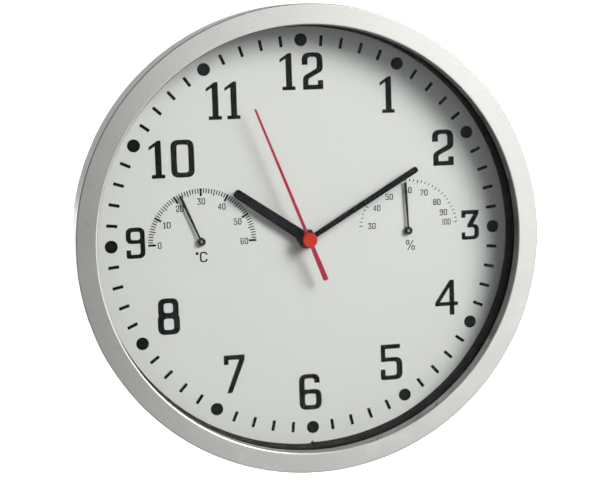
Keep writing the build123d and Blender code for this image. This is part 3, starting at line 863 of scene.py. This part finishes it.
def lay_floor(settings, centre):
    """A wide pale floor under and behind the clock."""
    ground = bmesh.new()
    bmesh.ops.create_grid(ground, x_segments=FLOOR_CELLS, y_segments=FLOOR_CELLS,
                          size=FLOOR_HALF_WIDTH)
    bmesh.ops.translate(ground, verts=ground.verts, vec=(0, 0, centre.z - settings.floor_drop))
    data = bpy.data.meshes.new("floor")
    ground.to_mesh(data)
    ground.free()
    finish = Finish("pale floor", settings.floor_colour, roughness=0.8)
    data.materials.append(finish.mottle(size_mm=900, share=0.01).material)
    floor = bpy.data.objects.new("floor", data)
    bpy.context.scene.collection.objects.link(floor)


def hang_lights(settings, centre):
    """The main light, the wash on the floor and the cards that the bezel mirrors."""
    soft_light("key", centre + Vector(KEY_PLACE), centre, settings.key_size,
               settings.key_power, WARM_WHITE, KEY_SPREAD)
    soft_light("floor_wash", centre + Vector(WASH_PLACE), centre + Vector(WASH_TARGET),
               WASH_SIZE, WASH_POWER, spread=WASH_SPREAD)
    for name, place, size, power, lights_surfaces in CARDS:
        card = soft_light(name, centre + Vector(place), centre, size, power)
        card.visible_diffuse = lights_surfaces


def colour_room(settings):
    """A room that is darker at the left and light behind the clock, and a white backdrop."""
    world = bpy.data.worlds.new("room")
    bpy.context.scene.world = world
    world.use_nodes = True
    nodes, links = world.node_tree.nodes, world.node_tree.links
    room = nodes["Background"]
    room.inputs["Color"].default_value = (*ROOM_TINT, 1)
    place = nodes.new("ShaderNodeTexCoord")
    total = nodes.new("ShaderNodeMath")
    sides = ((*ROOM_ACROSS, settings.room_dark, settings.room_light),
             (*ROOM_BEHIND, 0.0, settings.room_back))
    for part, (direction, start, end, low, high) in zip(total.inputs, sides):
        along = nodes.new("ShaderNodeVectorMath")
        along.operation = "DOT_PRODUCT"
        along.inputs[1].default_value = direction
        ramp = nodes.new("ShaderNodeMapRange")
        for socket, value in (("From Min", start), ("From Max", end), ("To Min", low),
                              ("To Max", high)):
            ramp.inputs[socket].default_value = value
        links.new(place.outputs["Generated"], along.inputs[0])
        links.new(along.outputs["Value"], ramp.inputs["Value"])
        links.new(ramp.outputs["Result"], part)
    links.new(total.outputs["Value"], room.inputs["Strength"])
    backdrop = nodes.new("ShaderNodeBackground")
    backdrop.inputs["Color"].default_value = (*WHITE, 1)
    backdrop.inputs["Strength"].default_value = BACKDROP_STRENGTH
    seen = nodes.new("ShaderNodeLightPath")
    mix = nodes.new("ShaderNodeMixShader")
    links.new(seen.outputs["Is Camera Ray"], mix.inputs[0])
    links.new(room.outputs[0], mix.inputs[1])
    links.new(backdrop.outputs[0], mix.inputs[2])
    links.new(mix.outputs[0], nodes["World Output"].inputs["Surface"])


def set_camera(settings, centre):
    """The camera, placed as the photograph was taken."""
    turn, rise, roll = settings.camera_azimuth, settings.camera_elevation, settings.camera_roll
    sight = Vector((-sin(turn) * cos(rise), cos(turn) * cos(rise), -sin(rise)))
    level = sight.cross(Vector((0, 0, 1))).normalized()
    upward = level.cross(sight)
    right = cos(roll) * level + sin(roll) * upward
    up = cos(roll) * upward - sin(roll) * level
    place = (centre - sight * settings.camera_distance + right * settings.aim_right
             + up * settings.aim_up)
    data = bpy.data.cameras.new("camera")
    data.sensor_fit = "HORIZONTAL"
    data.sensor_width = SENSOR_WIDTH_MM
    data.lens = settings.lens
    data.clip_start = NEAREST_SEEN
    data.clip_end = FARTHEST_SEEN
    camera = bpy.data.objects.new("camera", data)
    bpy.context.scene.collection.objects.link(camera)
    facing = Matrix((right, up, -sight)).transposed().to_4x4()
    camera.matrix_world = Matrix.Translation(place) @ facing
    bpy.context.scene.camera = camera


class CLOCK_OT_studio(bpy.types.Operator):
    """Set up the floor, the soft lights, the room and the camera"""
    bl_idname = "clock.studio"
    bl_label = "Studio"

    def execute(self, context):
        settings = context.scene.clock_studio
        centre = Vector((PRINT_PLACE[0] * MM, -DIAL_FRONT * MM,
                         (DIAL_RISE + PRINT_PLACE[1]) * MM))
        lay_floor(settings, centre)
        hang_lights(settings, centre)
        context.scene.view_settings.view_transform = "Standard"
        colour_room(settings)
        set_camera(settings, centre)
        return {"FINISHED"}


# ---------------------------------------------------------------- panel and run

PIECES = (CLOCK_OT_case, CLOCK_OT_dial, CLOCK_OT_scales, CLOCK_OT_hands, CLOCK_OT_works,
          CLOCK_OT_studio)
SETTINGS = {"clock_case": CaseSettings, "clock_dial": DialSettings,
            "clock_hands": HandSettings, "clock_studio": StudioSettings}


class CLOCK_PT_panel(bpy.types.Panel):
    """Wall clock pieces and their settings"""
    bl_idname = "CLOCK_PT_panel"
    bl_label = "Wall Clock"
    bl_space_type = "VIEW_3D"
    bl_region_type = "UI"
    bl_category = "Wall Clock"

    def draw(self, context):
        for piece in PIECES:
            self.layout.operator(piece.bl_idname)
        for holder, group in SETTINGS.items():
            column = self.layout.column(heading=group.__doc__)
            for name in group.__annotations__:
                column.prop(getattr(context.scene, holder), name)


CLASSES = (*SETTINGS.values(), *PIECES, CLOCK_PT_panel)


def register():
    for made in CLASSES:
        bpy.utils.register_class(made)
    for holder, group in SETTINGS.items():
        setattr(bpy.types.Scene, holder, PointerProperty(type=group))


def unregister():
    for holder in SETTINGS:
        delattr(bpy.types.Scene, holder)
    for made in reversed(CLASSES):
        bpy.utils.unregister_class(made)


def main():
    register()
    bpy.ops.clock.case()
    bpy.ops.clock.dial()
    bpy.ops.clock.scales()
    bpy.ops.clock.hands()
    bpy.ops.clock.works()
    bpy.ops.clock.studio()


if __name__ == "__main__":
    main()
